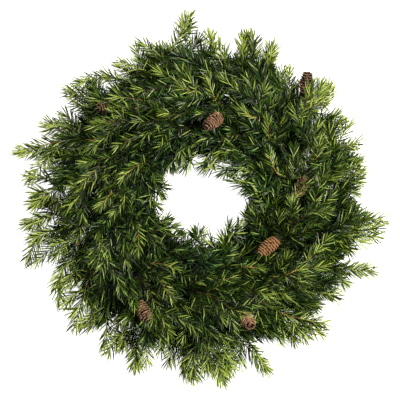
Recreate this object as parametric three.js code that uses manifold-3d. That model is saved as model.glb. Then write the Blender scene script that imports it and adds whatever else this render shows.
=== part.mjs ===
// A fresh evergreen wreath, 24 inches across, lying on its back with its face up.
//
// Forty-four fir boughs are bound to a plain wire ring by one long binding wire, in three rows: an outer row
// that fans out in two layers, one on the table and one above it, a middle row laid over them, and an inner
// row that closes in on the hole.
// Every stem runs beside the ring for a way, in one of six lanes round the wire, and leaves it between two
// turns of the binding wire. Seven small cones sit among the boughs, each held by a wire of its own.
//
// Millimetres, +Z up. The origin is under the middle of the wreath, on the surface it lies on.

import * as THREE from "three";
import { mergeVertices } from "three/addons/utils/BufferGeometryUtils.js";
import Module from "manifold-3d";

const wasm = await Module();
wasm.setup();

// ---------------------------------------------------------------- driving dimensions

const RING_RADIUS = 150; // a 12 inch wreath ring, measured at its wire
const RING_WIRE_RADIUS = 2;
const RING_HEIGHT = 38; // of the ring's wire above the table

const LANE_RADIUS = 5.4; // from the ring's wire to a stem beside it
const STEM_RADIUS = 2.2;
const STEM_RUN = 14; // degrees round the ring that a stem lies beside it

const BINDING_TURNS = 24;
const BINDING_RADIUS = 10.2; // of a turn, round the ring and its stems
const BINDING_WIRE_RADIUS = 0.6;
const BINDING_START = -12; // degrees round the ring, where the first turn passes outermost

const NEEDLE_REACH = 17; // from a twig to the ends of its needles, sideways
const NEEDLE_RISE = 11; // and upwards
const SIDE_TWIG_ANGLE = 40; // degrees from the leading twig to a side twig
const LOW_TWIG_LENGTH = 62; // of the first side twig at a bough's foot; later ones are shorter

const CONE_LENGTH = 43;
const CONE_RADIUS = 11.5;
const CONE_ROWS = 7; // rings of scales along a cone
const CONE_WIRE_RADIUS = 0.7;

const CLEARANCE = 0.5; // what a bough keeps from whatever it presses on
const TURN = 360 / BINDING_TURNS;

// ---------------------------------------------------------------- the boughs

// Lanes round the ring's wire, in degrees: 0 is outermost, 90 is on top, 180 is towards the hole.
const LANES = { low: -60, out: 0, top: 60, crown: 120, inner: 180 };

// How far a bough has gone at the middle of its line, as shares of its way round the ring and away from it.
const BENDS = {
  low: { round: 0.45, away: 0.45 },
  out: { round: 0.45, away: 0.45 },
  top: { round: 0.48, away: 0.2 },
  crown: { round: 0.48, away: 0.12 },
  inner: { round: 0.45, away: 0.36 },
};

// Side twigs near a bough's foot: place along the leading twig, and 1 for its left side, -1 for its right.
const LOWEST_TWIG = 0.56;
const LOW_TWIGS = {
  low: [[0.58, 1], [0.65, -1], [0.74, 1], [0.8, -1]],
  out: [[0.58, -1], [0.65, 1], [0.72, -1], [0.8, 1]],
  top: [[0.56, 1], [0.61, -1], [0.72, 1], [0.78, -1]],
  crown: [[0.56, 1], [0.61, -1], [0.7, 1], [0.78, -1]],
  inner: [[0.56, -1], [0.58, 1], [0.66, -1], [0.73, 1], [0.77, -1]],
};

// Each bough: [turn of the binding wire that holds it, lane, height half way along, leading tip, side tips].
// A tip is [bearing in degrees anticlockwise from +X, reach from the ring's centre, height].
const OUTER_BOUGHS = [
  [0, "low", 8, [12, 268, 10], [7, 262, 12]],
  [1, "out", 32, [29, 276, 27], [21, 272, 30]],
  [2, "low", 8, [42, 278, 11], [50, 256, 12]],
  [3, "out", 33, [58, 262, 30], [52, 236, 32]],
  [4, "low", 8, [76, 287, 10], [66, 278, 12]],
  [5, "out", 32, [89, 278, 28], [84, 252, 30]],
  [7, "low", 9, [96, 304, 11], [106, 262, 12]],
  [8, "low", 9, [114, 282, 10], [122, 262, 12]],
  [9, "low", 8, [142, 287, 10], [134, 262, 12]],
  [10, "low", 8, [156, 292, 11], [164, 268, 12]],
  [10, "out", 32, [166, 317, 25], [173, 288, 28]],
  [11, "out", 33, [183, 285, 29], [178, 280, 32]],
  [12, "low", 8, [189, 296, 10], [181, 262, 12]],
  [13, "low", 8, [201, 305, 11], [207, 266, 12]],
  [13, "out", 32, [211, 286, 28], [216, 288, 29]],
  [14, "out", 33, [226, 304, 26], [221, 280, 30]],
  [15, "low", 8, [237, 296, 10], [229, 268, 12]],
  [16, "low", 8, [249, 303, 11], [243, 270, 12]],
  [17, "low", 8, [268, 302, 10], [274, 276, 12]],
  [18, "out", 32, [277, 309, 26], [271, 278, 30]],
  [19, "low", 8, [291, 305, 11], [304, 262, 12]],
  [20, "out", 33, [316, 294, 27], [307, 283, 30]],
  [21, "low", 8, [326, 272, 10], [333, 256, 12]],
  [22, "low", 8, [338, 301, 11], [331, 250, 12]],
  [23, "out", 32, [352, 297, 27], [355, 270, 30]],
];
const MIDDLE_BOUGHS = [
  [0, "top", 70, [36, 228, 76], [46, 206, 84], [26, 214, 84]],
  [2, "crown", 78, [72, 218, 86], [82, 198, 92], [62, 208, 92]],
  [5, "top", 70, [112, 228, 76], [122, 206, 84], [101, 216, 84]],
  [7, "crown", 78, [146, 218, 86], [156, 200, 92], [136, 208, 92]],
  [10, "top", 70, [186, 230, 76], [197, 208, 84], [176, 216, 84]],
  [12, "crown", 78, [219, 218, 86], [229, 198, 92], [209, 206, 92]],
  [15, "top", 70, [258, 230, 76], [268, 208, 84], [248, 216, 84]],
  [17, "crown", 78, [294, 216, 86], [304, 198, 92], [284, 208, 92]],
  [20, "top", 70, [334, 230, 76], [344, 208, 84], [324, 216, 84]],
  [22, "crown", 78, [364, 216, 86], [374, 198, 92], [355, 206, 92]],
];
const INNER_BOUGHS = [
  [21, "inner", 56, [361, 80, 54], [346, 76, 58]],
  [23, "inner", 56, [394, 58, 56], [374, 64, 60]],
  [1, "inner", 56, [68, 44, 54], [52, 52, 60]],
  [3, "inner", 56, [98, 48, 56], [82, 56, 60]],
  [6, "inner", 56, [140, 61, 54], [118, 64, 58]],
  [9, "inner", 56, [182, 59, 56], [161, 58, 60]],
  [12, "inner", 56, [234, 52, 54], [207, 59, 60]],
  [15, "inner", 56, [276, 39, 56], [252, 44, 60]],
  [18, "inner", 56, [318, 62, 54], [295, 61, 60]],
];

// Each cone: [x and y of its middle from the ring's centre, its height, bearing of its tip, tip's lift].
const CONES = [
  [156, 23, 68, 60, 35],
  [165, 189, 54, 84, 12],
  [15, 125, 77, 218, 35],
  [-156, 151, 60, 200, 40],
  [-95, -177, 75, 300, 30],
  [70, -191, 80, 310, 62],
  [103, -73, 85, 218, 6],
];

// ---------------------------------------------------------------- materials

function finish(colour, roughness, metalness = 0) {
  return new THREE.MeshStandardMaterial({ color: colour, roughness, metalness });
}
const OUTER_GREEN = finish(0x4c6b28, 0.6);
const MIDDLE_GREEN = finish(0x5c7c2c, 0.6);
const INNER_GREEN = finish(0x3d5a24, 0.6);
const CONE_BROWN = finish(0x9a6440, 0.8);
const RING_GREEN = finish(0x22301f, 0.45, 0.6);
const WIRE_GREEN = finish(0x2c3d26, 0.4, 0.7);

// ---------------------------------------------------------------- solids

// A geometry's surface as a manifold-3d solid.
function solidOf(geometry) {
  const bare = geometry.clone();
  bare.deleteAttribute("normal");
  bare.deleteAttribute("uv");
  const merged = mergeVertices(bare, 1e-4);
  return new wasm.Manifold(
    new wasm.Mesh({
      numProp: 3,
      vertProperties: merged.attributes.position.array,
      triVerts: new Uint32Array(merged.index.array),
    }),
  );
}

// The largest body of a solid, as a geometry: trimming a bough can clip a loose corner off it.
function geometryOf(solid) {
  const [largest] = solid.decompose().sort((a, b) => b.volume() - a.volume());
  const mesh = largest.getMesh();
  const geometry = new THREE.BufferGeometry();
  geometry.setAttribute("position", new THREE.BufferAttribute(mesh.vertProperties, 3));
  geometry.setIndex(new THREE.BufferAttribute(mesh.triVerts, 1));
  return geometry;
}

// A closed body round a curve. Each station is [place along the curve from 0 to 1, half width, half height].
// Its width lies level and across the curve, one of its sides faces down, and nothing goes below the table.
function bodyAlong(curve, stations, sides, grow = 0) {
  const points = [];
  const faces = [];
  const last = stations.length - 1;
  stations.forEach(([place, halfWidth, halfHeight], s) => {
    const centre = curve.getPoint(place);
    const ahead = curve.getTangent(place);
    if (s === 0) centre.addScaledVector(ahead, -grow);
    if (s === last) centre.addScaledVector(ahead, grow);
    const across = new THREE.Vector3(-ahead.y, ahead.x, 0).normalize();
    const upward = new THREE.Vector3().crossVectors(ahead, across);
    for (let k = 0; k < sides; k++) {
      const angle = (2 * Math.PI * (k + 0.5)) / sides - Math.PI / 2;
      const point = centre
        .clone()
        .addScaledVector(across, (halfWidth + grow) * Math.cos(angle))
        .addScaledVector(upward, (halfHeight + grow) * Math.sin(angle));
      point.z = Math.max(point.z, 0);
      points.push(point);
    }
  });
  for (let s = 0; s < last; s++)
    for (let k = 0; k < sides; k++) {
      const next = (k + 1) % sides;
      const [a, b] = [s * sides + k, s * sides + next];
      faces.push(a, b, a + sides, b, b + sides, a + sides);
    }
  for (let k = 1; k < sides - 1; k++) {
    faces.push(0, k + 1, k);
    faces.push(last * sides, last * sides + k, last * sides + k + 1);
  }
  return new THREE.BufferGeometry().setFromPoints(points).setIndex(faces);
}

// A point beside the ring's wire: degrees round the ring, degrees round the wire, and distance from the wire.
function besideRing(bearing, lane, distance) {
  const [b, l] = [THREE.MathUtils.degToRad(bearing), THREE.MathUtils.degToRad(lane)];
  const radius = RING_RADIUS + distance * Math.cos(l);
  return new THREE.Vector3(
    radius * Math.cos(b),
    radius * Math.sin(b),
    RING_HEIGHT + distance * Math.sin(l),
  );
}

// Bearings and reach from the ring's centre, and height above the table.
function polar(bearing, reach, height) {
  const b = THREE.MathUtils.degToRad(bearing);
  return new THREE.Vector3(reach * Math.cos(b), reach * Math.sin(b), height);
}

// A bough leaves its lane half way between two turns of the binding wire, which passes over every lane
// once a turn.
function exitBearing(turn, lane) {
  return BINDING_START + TURN * (turn + 0.5 + LANES[lane] / 360);
}

// The line of a bough's leading twig: beside the ring, out between the turns, then away to its tip.
function leadingTwig([turn, lane, halfHeight, tip]) {
  const exit = exitBearing(turn, lane);
  const leave = besideRing(exit, LANES[lane], 1.15 * BINDING_RADIUS);
  const start = Math.hypot(leave.x, leave.y);
  const bend = BENDS[lane];
  const middle = polar(
    THREE.MathUtils.lerp(exit, tip[0], bend.round),
    THREE.MathUtils.lerp(start, tip[1], bend.away),
    halfHeight,
  );
  const knots = [
    besideRing(exit - STEM_RUN, LANES[lane], LANE_RADIUS),
    besideRing(exit - 3.4, LANES[lane], LANE_RADIUS),
    leave,
    middle,
    polar(...tip),
  ];
  return new THREE.CatmullRomCurve3(knots, false, "centripetal");
}

// A side twig leaves the leading twig where it has to turn by SIDE_TWIG_ANGLE to reach its own tip.
function sideTwig(leading, tipPlace) {
  const tip = polar(...tipPlace);
  const turnAt = (place) => tip.clone().sub(leading.getPoint(place)).angleTo(leading.getTangent(place));
  let place = 0.95;
  while (place > LOWEST_TWIG && turnAt(place) > THREE.MathUtils.degToRad(SIDE_TWIG_ANGLE)) place -= 0.01;
  return new THREE.LineCurve3(leading.getPoint(place), tip);
}

// The side twigs near a bough's foot. Those to its left, looking along it, point in towards the hole.
function lowTwigs(leading, lane) {
  return LOW_TWIGS[lane].map(([place, side]) => {
    const root = leading.getPoint(place);
    const way = leading.getTangent(place);
    way.applyAxisAngle(new THREE.Vector3(0, 0, 1), side * THREE.MathUtils.degToRad(SIDE_TWIG_ANGLE));
    const length = LOW_TWIG_LENGTH * (1 - 1.5 * (place - LOWEST_TWIG));
    return new THREE.LineCurve3(root, root.clone().addScaledVector(way, length));
  });
}

// A bough with its needles. Its leading twig comes out of the binding about half way along its line.
function bough(row, grow = 0) {
  const leading = leadingTwig(row);
  const sides = row.slice(4).map((tip) => sideTwig(leading, tip));
  sides.push(...lowTwigs(leading, row[1]));
  const [wide, high] = [NEEDLE_REACH, NEEDLE_RISE];
  const leadingStations = [
    [0, STEM_RADIUS, STEM_RADIUS],
    [0.25, STEM_RADIUS, STEM_RADIUS],
    [0.5, STEM_RADIUS, STEM_RADIUS],
    [0.58, 0.85 * wide, 0.8 * high],
    [0.78, wide, high],
    [0.93, 0.75 * wide, 0.7 * high],
    [1, 4, 3],
  ];
  const sideStations = [
    [0, 0.3 * wide, 0.3 * high],
    [0.6, 0.85 * wide, 0.75 * high],
    [1, 4, 3],
  ];
  return sides
    .map((side) => solidOf(bodyAlong(side, sideStations, 4, grow)))
    .reduce((whole, side) => whole.add(side), solidOf(bodyAlong(leading, leadingStations, 6, grow)));
}

// ---------------------------------------------------------------- ring, wires and cones

function ring(grow = 0) {
  const geometry = new THREE.TorusGeometry(RING_RADIUS, RING_WIRE_RADIUS + grow, 6, 48);
  return solidOf(geometry.translate(0, 0, RING_HEIGHT));
}

// A round wire along a curve, closed at both ends.
function wire(curve, radius, sides, steps) {
  const section = new THREE.Shape();
  for (let k = 0; k < sides; k++) {
    const angle = (2 * Math.PI * k) / sides;
    const [x, y] = [radius * Math.cos(angle), radius * Math.sin(angle)];
    if (k === 0) section.moveTo(x, y);
    else section.lineTo(x, y);
  }
  return solidOf(new THREE.ExtrudeGeometry(section, { steps, extrudePath: curve }));
}

// The binding wire winds round the ring and the stems beside it, once all the way round.
class BindingCurve extends THREE.Curve {
  getPoint(t) {
    const turns = t * (BINDING_TURNS - 0.4);
    return besideRing(BINDING_START + TURN * turns, 360 * turns, BINDING_RADIUS);
  }
}
function bindingWire(grow = 0) {
  return wire(new BindingCurve(), BINDING_WIRE_RADIUS + grow, 4, 6 * BINDING_TURNS);
}

// A cone's outline has one step for each ring of scales. Its own +Z is its tip.
function coneProfile(grow) {
  const outline = [new THREE.Vector2(0, -grow)];
  for (let row = 0; row < CONE_ROWS; row++) {
    const [low, high] = [row / CONE_ROWS, (row + 0.7) / CONE_ROWS];
    const swell = (s) => CONE_RADIUS * Math.sin(Math.PI * (0.12 + 0.84 * s)) ** 0.6;
    outline.push(new THREE.Vector2(0.82 * swell(low) + grow, low * CONE_LENGTH - (row ? 0 : grow)));
    outline.push(new THREE.Vector2(swell(high) + grow, high * CONE_LENGTH));
  }
  outline.push(new THREE.Vector2(0, CONE_LENGTH + grow));
  return outline;
}

function conePlace([x, y, height, bearing, lift]) {
  const [b, l] = [THREE.MathUtils.degToRad(bearing), THREE.MathUtils.degToRad(lift)];
  const way = new THREE.Vector3(Math.cos(b) * Math.cos(l), Math.sin(b) * Math.cos(l), Math.sin(l));
  const base = new THREE.Vector3(x, y, height).addScaledVector(way, -CONE_LENGTH / 2);
  return { way, base };
}

function cone(row, grow = 0) {
  const { way, base } = conePlace(row);
  const geometry = new THREE.LatheGeometry(coneProfile(grow), 9);
  geometry.rotateX(Math.PI / 2);
  geometry.applyQuaternion(new THREE.Quaternion().setFromUnitVectors(new THREE.Vector3(0, 0, 1), way));
  return solidOf(geometry.translate(base.x, base.y, base.z));
}

// The cone's wire comes out of its base and down to the bound stems.
function coneWire(row, grow = 0) {
  const { way, base } = conePlace(row);
  const start = base.clone().addScaledVector(way, -1);
  const bearing = THREE.MathUtils.radToDeg(Math.atan2(base.y, base.x));
  const outside = Math.hypot(base.x, base.y) > RING_RADIUS;
  const end = besideRing(bearing, outside ? 30 : 130, BINDING_RADIUS + 3);
  const bend = start.clone().addScaledVector(way, -8);
  const curve = new THREE.QuadraticBezierCurve3(start, bend, end);
  return wire(curve, CONE_WIRE_RADIUS + grow, 5, 4);
}

// ---------------------------------------------------------------- the wreath

const wreath = new THREE.Group();

// Each piece stands at its own bearing on the ring, so its mesh is turned and moved there.
function add(name, solid, material, bearing = 0, radius = 0) {
  const mesh = new THREE.Mesh(geometryOf(solid), material);
  mesh.name = name;
  mesh.position.copy(polar(bearing, radius, 0));
  mesh.rotation.z = THREE.MathUtils.degToRad(bearing);
  mesh.updateMatrix();
  mesh.geometry.applyMatrix4(mesh.matrix.clone().invert());
  wreath.add(mesh);
}

const numbered = (name, i) => name + "_" + String(i + 1).padStart(2, "0");

add("wire_ring", ring(), RING_GREEN);
add("binding_wire", bindingWire(), WIRE_GREEN);
let taken = ring(CLEARANCE).add(bindingWire(CLEARANCE));

CONES.forEach((row, i) => {
  const bearing = THREE.MathUtils.radToDeg(Math.atan2(row[1], row[0]));
  const radius = Math.hypot(row[0], row[1]);
  add(numbered("cone", i), cone(row), CONE_BROWN, bearing, radius);
  add(numbered("cone_wire", i), coneWire(row), WIRE_GREEN, bearing, radius);
  taken = taken.add(cone(row, CLEARANCE)).add(coneWire(row, CLEARANCE));
});

// Boughs press on what was bound before them, so each is trimmed to the room that is left.
function addBoughs(name, rows, material) {
  rows.forEach((row, i) => {
    const solid = bough(row).subtract(taken);
    add(numbered(name, i), solid, material, exitBearing(row[0], row[1]), RING_RADIUS);
    taken = taken.add(bough(row, CLEARANCE));
  });
}
const inLane = (rows, lane) => rows.filter((row) => row[1] === lane);
addBoughs("back_bough", inLane(OUTER_BOUGHS, "low"), OUTER_GREEN);
addBoughs("outer_bough", inLane(OUTER_BOUGHS, "out"), OUTER_GREEN);
addBoughs("middle_bough", MIDDLE_BOUGHS, MIDDLE_GREEN);
addBoughs("inner_bough", INNER_BOUGHS, INNER_GREEN);

// The origin goes under the middle of the whole wreath.
const extent = new THREE.Box3().setFromObject(wreath, true);
const middle = extent.getCenter(new THREE.Vector3());
wreath.position.set(-middle.x, -middle.y, -extent.min.z);

export default wreath;
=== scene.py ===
"""A fresh evergreen wreath lying on its back: fir boughs on a wire ring, with small cones among them."""

import math
from collections import namedtuple

import bpy
import numpy as np
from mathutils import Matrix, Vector


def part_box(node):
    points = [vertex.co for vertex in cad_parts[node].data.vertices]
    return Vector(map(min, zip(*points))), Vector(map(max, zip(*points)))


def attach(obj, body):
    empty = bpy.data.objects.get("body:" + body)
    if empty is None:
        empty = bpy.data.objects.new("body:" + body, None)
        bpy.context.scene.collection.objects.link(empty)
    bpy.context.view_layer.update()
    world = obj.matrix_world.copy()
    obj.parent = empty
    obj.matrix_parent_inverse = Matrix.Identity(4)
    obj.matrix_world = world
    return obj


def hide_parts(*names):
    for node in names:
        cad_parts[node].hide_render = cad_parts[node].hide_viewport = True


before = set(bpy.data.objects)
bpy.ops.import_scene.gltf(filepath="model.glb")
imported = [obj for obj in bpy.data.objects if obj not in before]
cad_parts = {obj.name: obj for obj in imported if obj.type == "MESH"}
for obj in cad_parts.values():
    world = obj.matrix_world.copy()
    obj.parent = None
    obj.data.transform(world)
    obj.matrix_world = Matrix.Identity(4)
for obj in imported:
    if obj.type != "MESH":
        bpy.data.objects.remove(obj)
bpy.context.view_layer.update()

MM = 0.001

# ---------------------------------------- the wreath's layout, as in the CAD part
# Millimetres and degrees. Bearings are anticlockwise from +X about the ring's centre.

RING_RADIUS = 150
RING_HEIGHT = 38
LANE_RADIUS = 5.4  # from the ring's wire to a stem beside it
STEM_RADIUS = 2.2
STEM_RUN = 14  # degrees round the ring that a stem lies beside it
STEM_BEND = 3.4  # degrees before its way out, where a stem starts to bend away from the ring
BINDING_RADIUS = 10.2
STEM_EXIT = 1.15 * BINDING_RADIUS  # from the ring's wire to where a stem leaves it
BINDING_START = -12
TURN = 15  # degrees from one turn of the binding wire to the next
SIDE_TWIG_ANGLE = 40
LOWEST_TWIG = 0.56  # place along the leading twig, below which it has no side twigs
LOW_TWIG_LENGTH = 62
LOW_TWIG_TAPER = 1.5  # how fast low twigs get shorter towards the leading tip

# Where a stem lies round the ring's wire: 0 is on its outer side and 90 on top of it.
LANES = {"low": -60, "out": 0, "top": 60, "crown": 120, "inner": 180}
BENDS = {  # shares of a bough's way round the ring, and away from it, at the middle of its line
    "low": (0.45, 0.45),
    "out": (0.45, 0.45),
    "top": (0.48, 0.2),
    "crown": (0.48, 0.12),
    "inner": (0.45, 0.36),
}
YOUTH = {"low": 1.0, "out": 1.0, "top": 0.82, "crown": 0.82, "inner": 0.8}  # of a bough's leading twig
LOW_TWIGS = {  # place along the leading twig, and 1 for its left side or -1 for its right
    "low": [(0.58, 1), (0.65, -1), (0.74, 1), (0.8, -1)],
    "out": [(0.58, -1), (0.65, 1), (0.72, -1), (0.8, 1)],
    "top": [(0.56, 1), (0.61, -1), (0.72, 1), (0.78, -1)],
    "crown": [(0.56, 1), (0.61, -1), (0.7, 1), (0.78, -1)],
    "inner": [(0.56, -1), (0.58, 1), (0.66, -1), (0.73, 1), (0.77, -1)],
}

# Each bough: turn of the binding wire that holds it, lane, height half way along, leading tip, side tips.
# A tip is (bearing, reach from the ring's centre, height).
OUTER_BOUGHS = [
    (0, "low", 8, (12, 268, 10), (7, 262, 12)),
    (1, "out", 32, (29, 276, 27), (21, 272, 30)),
    (2, "low", 8, (42, 278, 11), (50, 256, 12)),
    (3, "out", 33, (58, 262, 30), (52, 236, 32)),
    (4, "low", 8, (76, 287, 10), (66, 278, 12)),
    (5, "out", 32, (89, 278, 28), (84, 252, 30)),
    (7, "low", 9, (96, 304, 11), (106, 262, 12)),
    (8, "low", 9, (114, 282, 10), (122, 262, 12)),
    (9, "low", 8, (142, 287, 10), (134, 262, 12)),
    (10, "low", 8, (156, 292, 11), (164, 268, 12)),
    (10, "out", 32, (166, 317, 25), (173, 288, 28)),
    (11, "out", 33, (183, 285, 29), (178, 280, 32)),
    (12, "low", 8, (189, 296, 10), (181, 262, 12)),
    (13, "low", 8, (201, 305, 11), (207, 266, 12)),
    (13, "out", 32, (211, 286, 28), (216, 288, 29)),
    (14, "out", 33, (226, 304, 26), (221, 280, 30)),
    (15, "low", 8, (237, 296, 10), (229, 268, 12)),
    (16, "low", 8, (249, 303, 11), (243, 270, 12)),
    (17, "low", 8, (268, 302, 10), (274, 276, 12)),
    (18, "out", 32, (277, 309, 26), (271, 278, 30)),
    (19, "low", 8, (291, 305, 11), (304, 262, 12)),
    (20, "out", 33, (316, 294, 27), (307, 283, 30)),
    (21, "low", 8, (326, 272, 10), (333, 256, 12)),
    (22, "low", 8, (338, 301, 11), (331, 250, 12)),
    (23, "out", 32, (352, 297, 27), (355, 270, 30)),
]
MIDDLE_BOUGHS = [
    (0, "top", 70, (36, 228, 76), (46, 206, 84), (26, 214, 84)),
    (2, "crown", 78, (72, 218, 86), (82, 198, 92), (62, 208, 92)),
    (5, "top", 70, (112, 228, 76), (122, 206, 84), (101, 216, 84)),
    (7, "crown", 78, (146, 218, 86), (156, 200, 92), (136, 208, 92)),
    (10, "top", 70, (186, 230, 76), (197, 208, 84), (176, 216, 84)),
    (12, "crown", 78, (219, 218, 86), (229, 198, 92), (209, 206, 92)),
    (15, "top", 70, (258, 230, 76), (268, 208, 84), (248, 216, 84)),
    (17, "crown", 78, (294, 216, 86), (304, 198, 92), (284, 208, 92)),
    (20, "top", 70, (334, 230, 76), (344, 208, 84), (324, 216, 84)),
    (22, "crown", 78, (364, 216, 86), (374, 198, 92), (355, 206, 92)),
]
INNER_BOUGHS = [
    (21, "inner", 56, (361, 80, 54), (346, 76, 58)),
    (23, "inner", 56, (394, 58, 56), (374, 64, 60)),
    (1, "inner", 56, (68, 44, 54), (52, 52, 60)),
    (3, "inner", 56, (98, 48, 56), (82, 56, 60)),
    (6, "inner", 56, (140, 61, 54), (118, 64, 58)),
    (9, "inner", 56, (182, 59, 56), (161, 58, 60)),
    (12, "inner", 56, (234, 52, 54), (207, 59, 60)),
    (15, "inner", 56, (276, 39, 56), (252, 44, 60)),
    (18, "inner", 56, (318, 62, 54), (295, 61, 60)),
]

# ---------------------------------------- needles and twigs

FOLIAGE_START = 0.34  # share of a leading twig that is bare stem
LEADING_STEPS = 60
LEADING_RADIUS = 1.3
SIDE_STEPS = 12
SIDE_RADIUS = 1.1
THIN_RADIUS = 0.7  # of the older sprigs
END_RADIUS = 0.5
SIDE_TWIG_BOW = 0.07  # share of its length that a side twig bows outwards
TWIG_SIDES = 5

# A twig's youth runs from 0, dark and dense, to 1, bright and open. Its coolness runs from 0, a warm
# green, to 1, a cold one. Side twigs have a share of their bough's youth.
SIDE_TWIG_YOUTH = 0.9
LOW_TWIG_YOUTH = 0.75

# Each pair below is for old twigs and for young ones.
OLD_AND_YOUNG = (0.4, 0.85)
NEEDLES_PER_MM = (1.6, 0.74)
NEEDLE_GROWTH = (1.15, 0.92)  # a needle's length against NEEDLE_LENGTH
NEEDLE_LIFT = (0.85, 0.55)  # how far the upper needles stand up from the twig
NEEDLE_DROP = 0.3  # how far the lower needles hang down

# Needles differ with their distance from the ring's centre: at the hole, on the face, on its outer part
# and at the outline.
NEEDLE_REACH = (80, 130, 195, 260)
NEEDLE_LENGTH = (26, 21.5, 22.5, 32)
NEEDLE_WIDTH = (1.9, 1.4, 1.4, 2.1)
NEEDLE_MIX = (0.42, 0.44, 0.38, 0.22)  # how much one needle's tone differs from the next
NEEDLE_SHADE = (0.4, 0.4, 0.35, 0.2)  # painted shade: how much darker the needles under a twig are
NEEDLE_COOL = (1.0, 1.0, 0.7, 0.3)  # how much of a twig's coolness its needles show
FADE_REACH = (65, 95, 150, 190, 240)
NEEDLE_FADE = (0.95, 0.76, 0.78, 0.86, 1.02)  # needles are darkest round the middle of the face
OPEN_REACH = (55, 100, 230, 285)  # of a twig's end
OPEN_SHARE = (0.6, 1, 1, 0.88)  # of its needles: there are fewer at the hole and at the outline

# They also differ with their distance from their own twig's end.
LEAN_LEFT = (0, 3, 12, 40)
NEEDLE_LEAN = (28, 36, 42, 46)  # degrees from the twig's own way
TONE_LEFT = (0, 15, 45, 100)
NEEDLE_TONE = (1.0, 0.92, 0.7, 0.45)
COOL_LEFT = (0, 40)
COOL_SHARE = (0.4, 1.0)

NEEDLE_SPIRAL = 137.508  # degrees round the twig from one needle to the next
SPIRAL_SPREAD = 9  # degrees, like the next one
LEAN_SPREAD = 6
ROLL_SPREAD = 0.6  # radians about the needle itself
COOL_SPREAD = 0.2
NEEDLE_SIZES = (0.75, 1.05)  # one needle's length against the next
NEEDLE_BEND = 0.28  # how far the most curved needles turn forward to their twig's way
NEEDLE_STATIONS = (0.0, 0.6)  # along a needle, before its point
NEEDLE_WIDTHS = (0.75, 1.0)
NEEDLE_DEPTH = 0.9  # against half its width
NEEDLE_SHADES = 5  # steps from warm green to cold green
TIP_NEEDLES = 13  # how far the last needles reach beyond a twig's end
TIP_TUFT = 5  # needles that fan out from a twig's very end
TUFT_RUN = 2  # of the twig, which they grow from
TUFT_LEAN = (34, 8)  # of the first and the last of them
TABLE_GAP = 0.4  # what needles and twigs pressed on the table keep above it
TABLE_PILE = 1.5  # and how much more the highest of such needles do

FILLERS = 740  # small sprigs that close the gaps on the face
FILLER_AHEAD = 42  # from a filler's middle to its tip
FILLER_BEHIND = 32  # and back to its mouth
FILLER_REACH = (92, 150, 190, 228)  # from the ring's centre
FILLER_LACK = (0, 1, 5, 8)  # how many sprigs fewer lie over each place, farther and farther out
FILLER_HEIGHTS = (10, 74)  # in the hollows and on the mounds
# Fillers' youth, from the hollows to the mounds: the lower youth in the hollows darkens their needles as
# painted shade.
FILLER_YOUTH_AND_DEPTH_SHADE = (0.3, 0.52)
FILLER_COOL = (0.2, 1.0)
FILLER_RISE = (-3, 9)  # of a filler's tip above its middle
FILLER_STRAY = 18  # degrees that fillers differ in their way
SWEEP_REACH = (70, 110, 150, 200, 240)
SWEEP = (105, 80, 60, 45, 25)  # degrees that fillers point anticlockwise of straight outwards

# Sprigs on top of the face. Each has the bearing and reach of its tip, then those of its mouth, where it
# comes into sight.
FACE_SPRIGS = [
    (10, 134, 352, 146),
    (13, 180, 1, 143),
    (31, 217, 20, 190),
    (36, 178, 14, 144),
    (42, 134, 20, 124),
    (48, 262, 43, 222),
    (45, 278, 41, 222),
    (56, 178, 42, 140),
    (74, 161, 58, 154),
    (90, 200, 83, 160),
    (99, 208, 94, 176),
    (107, 198, 95, 172),
    (120, 164, 101, 140),
    (134, 230, 121, 184),
    (138, 220, 125, 178),
    (152, 226, 138, 190),
    (154, 172, 136, 146),
    (169, 142, 150, 116),
    (175, 206, 161, 174),
    (188, 180, 174, 146),
    (192, 157, 176, 124),
    (214, 186, 200, 176),
    (222, 140, 206, 116),
    (224, 164, 212, 150),
    (256, 114, 230, 130),
    (256, 174, 243, 146),
    (298, 138, 282, 130),
    (307, 202, 298, 160),
    (314, 150, 300, 122),
    (330, 200, 318, 176),
    (342, 208, 330, 190),
]
FACE_REACH = (190, 280)
FACE_HEIGHTS = (92, 66)  # the face falls towards the outline
FACE_YOUTH = (0.85, 1.0)
FACE_COOL = (0, 0.25)
MOUTH_DEPTH = 8  # below the face

# Sprigs that make the outline and the edge of the hole, written the same way.
EDGE_SPRIGS = [
    (8, 272, 7, 222),
    (11, 278, 9, 236),
    (15, 276, 12, 234),
    (20, 274, 19, 230),
    (30, 278, 29, 228),
    (42, 282, 40, 232),
    (44, 290, 39, 246),
    (46, 286, 42, 240),
    (50, 272, 45, 228),
    (60, 264, 56, 226),
    (67, 287, 64, 241),
    (74, 288, 71, 240),
    (76, 294, 73, 236),
    (77, 290, 75, 240),
    (83, 266, 81, 227),
    (88, 289, 86, 226),
    (93, 316, 103, 242),
    (92, 298, 97, 272),
    (107, 272, 105, 225),
    (113, 285, 107, 246),
    (123, 270, 115, 234),
    (129, 272, 123, 230),
    (140, 288, 127, 252),
    (143, 294, 136, 251),
    (145, 270, 139, 236),
    (154, 303, 152, 250),
    (166, 330, 162, 258),
    (173, 297, 172, 246),
    (182, 296, 180, 246),
    (188, 303, 186, 247),
    (193, 296, 191, 240),
    (202, 276, 198, 235),
    (201, 312, 191, 270),
    (212, 285, 209, 238),
    (218, 295, 216, 250),
    (225, 300, 226, 250),
    (227, 296, 229, 246),
    (236, 266, 234, 216),
    (238, 305, 238, 254),
    (252, 294, 247, 240),
    (255, 266, 252, 222),
    (248, 310, 244, 246),
    (241, 292, 239, 244),
    (268, 307, 266, 241),
    (265, 301, 263, 245),
    (271, 287, 270, 240),
    (276, 313, 274, 243),
    (279, 302, 277, 252),
    (280, 282, 277, 240),
    (280, 298, 278, 250),
    (278, 307, 276, 250),
    (291, 310, 288, 244),
    (300, 274, 298, 236),
    (303, 293, 303, 239),
    (310, 292, 305, 248),
    (313, 308, 308, 246),
    (314, 289, 306, 222),
    (325, 276, 320, 228),
    (338, 313, 332, 235),
    (345, 290, 346, 230),
    (349, 312, 346, 233),
    (354, 314, 352, 221),
]
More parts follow.
